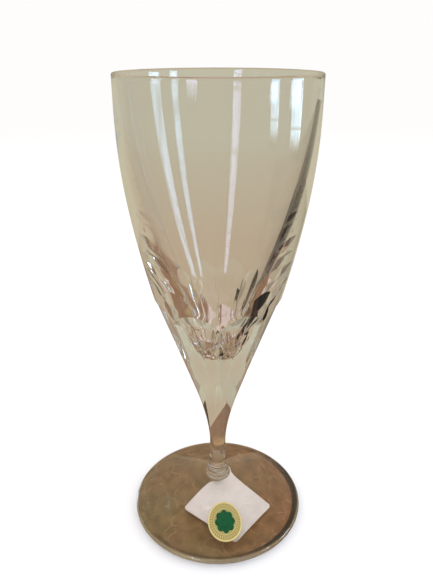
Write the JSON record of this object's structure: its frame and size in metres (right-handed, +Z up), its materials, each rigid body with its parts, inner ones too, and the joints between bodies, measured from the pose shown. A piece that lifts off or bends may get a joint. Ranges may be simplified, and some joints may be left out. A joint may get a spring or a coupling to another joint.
{
  "type": "iced beverage glass",
  "caption": "Tall stemmed drinking glass in clear crystal: a tulip bowl over arch-topped cut flutes, a slim stem, a ringed collar and a round foot.",
  "frame": {"origin": "centre of the foot, on the table that the glass stands on", "axes": "+Z up along the stem, -Y towards the viewer of the picture, +X to the viewer's right"},
  "size_m": [0.0824, 0.0824, 0.205],
  "materials": {
    "clear_crystal": "fire polished, with cut and polished flutes",
    "white_paper": "uncoated label paper",
    "gold_foil": "embossed gold foil with a green centre"
  },
  "bodies": {
    "root": {"bowl": "clear_crystal", "stem": "clear_crystal", "stem_collar": "clear_crystal", "foot": "clear_crystal", "paper_label": "white_paper", "foil_seal": "gold_foil"}
  },
  "joints": []
}
